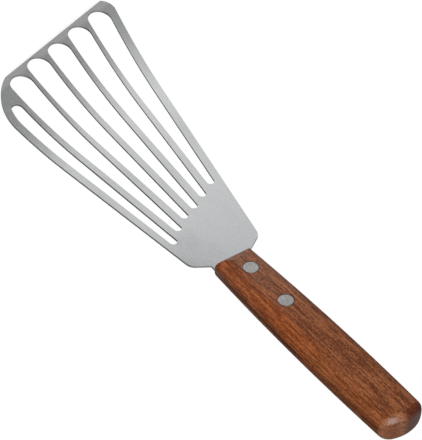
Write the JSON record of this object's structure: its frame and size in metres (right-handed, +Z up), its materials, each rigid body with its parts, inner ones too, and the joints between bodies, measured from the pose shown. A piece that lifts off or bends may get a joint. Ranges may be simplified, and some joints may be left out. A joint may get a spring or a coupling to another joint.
{
  "type": "fish spatula",
  "caption": "Slotted turner with a thin, flared blade that curls up to a slanted, ground edge, riveted into a sawn wooden grip. It lifts and turns fish.",
  "frame": {"origin": "under the middle of the whole tool, on the surface that it rests on", "axes": "+Y from the butt of the handle to the tip of the blade, +Z up, +X to the right"},
  "size_m": [0.0821, 0.2826, 0.0183],
  "materials": {
    "blade_steel": "satin, fine lengthwise grain",
    "handle_wood": "satin lacquer",
    "rivet_metal": "satin"
  },
  "bodies": {
    "root": {"blade": "blade_steel", "handle": "handle_wood", "front_rivet_socket": "rivet_metal", "front_rivet_post": "rivet_metal", "rear_rivet_socket": "rivet_metal", "rear_rivet_post": "rivet_metal"}
  },
  "joints": []
}
